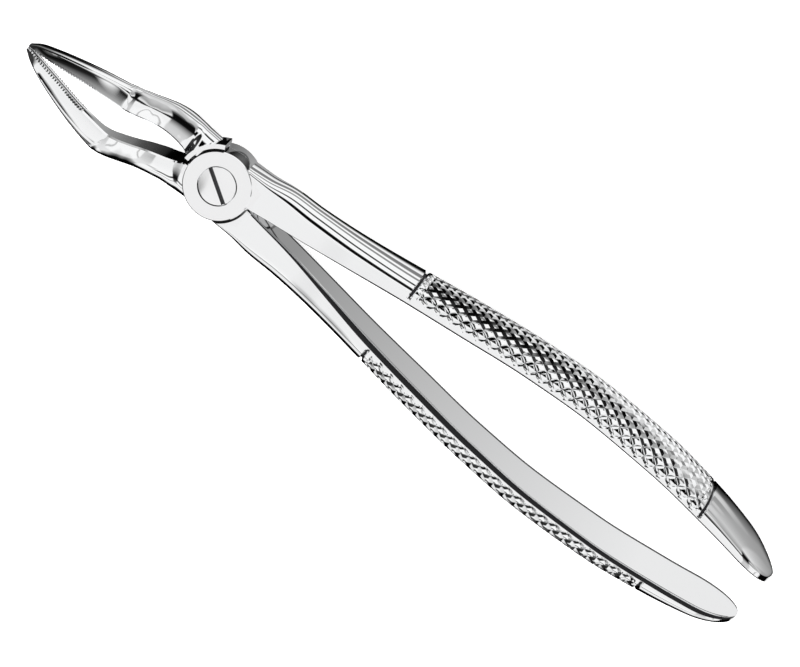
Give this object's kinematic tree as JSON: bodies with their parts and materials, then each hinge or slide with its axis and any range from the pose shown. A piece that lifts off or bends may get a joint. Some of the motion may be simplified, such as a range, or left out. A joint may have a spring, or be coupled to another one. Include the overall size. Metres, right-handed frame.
{
  "type": "extraction forceps",
  "caption": "English-pattern dental forceps for upper roots: two crossed polished steel halves with knurled bowed handles and raised narrow serrated beaks, on a slotted joint screw.",
  "frame": {"origin": "on the pivot axis, at the joint's flat back face, where the screw's dressed end lies flush", "axes": "+Z along the pivot axis towards the slotted screw head and the side that the beaks rise to, +X towards the handle ends, +Y the side of the near half's handle"},
  "size_m": [0.1773, 0.0306, 0.0209],
  "materials": {
    "polished_steel": "mirror-polished stainless steel",
    "screw_steel": "satin stainless steel"
  },
  "bodies": {
    "far_half": {"lower_handle_half": "polished_steel", "joint_screw": "screw_steel"},
    "near_half": {"upper_handle_half": "polished_steel"}
  },
  "joints": [
    {"name": "joint_pivot", "type": "hinge", "parent": "far_half", "child": "near_half", "pos_m": [0, 0, 0], "axis": [0, 0, 1], "range_deg": [0, 42]}
  ]
}
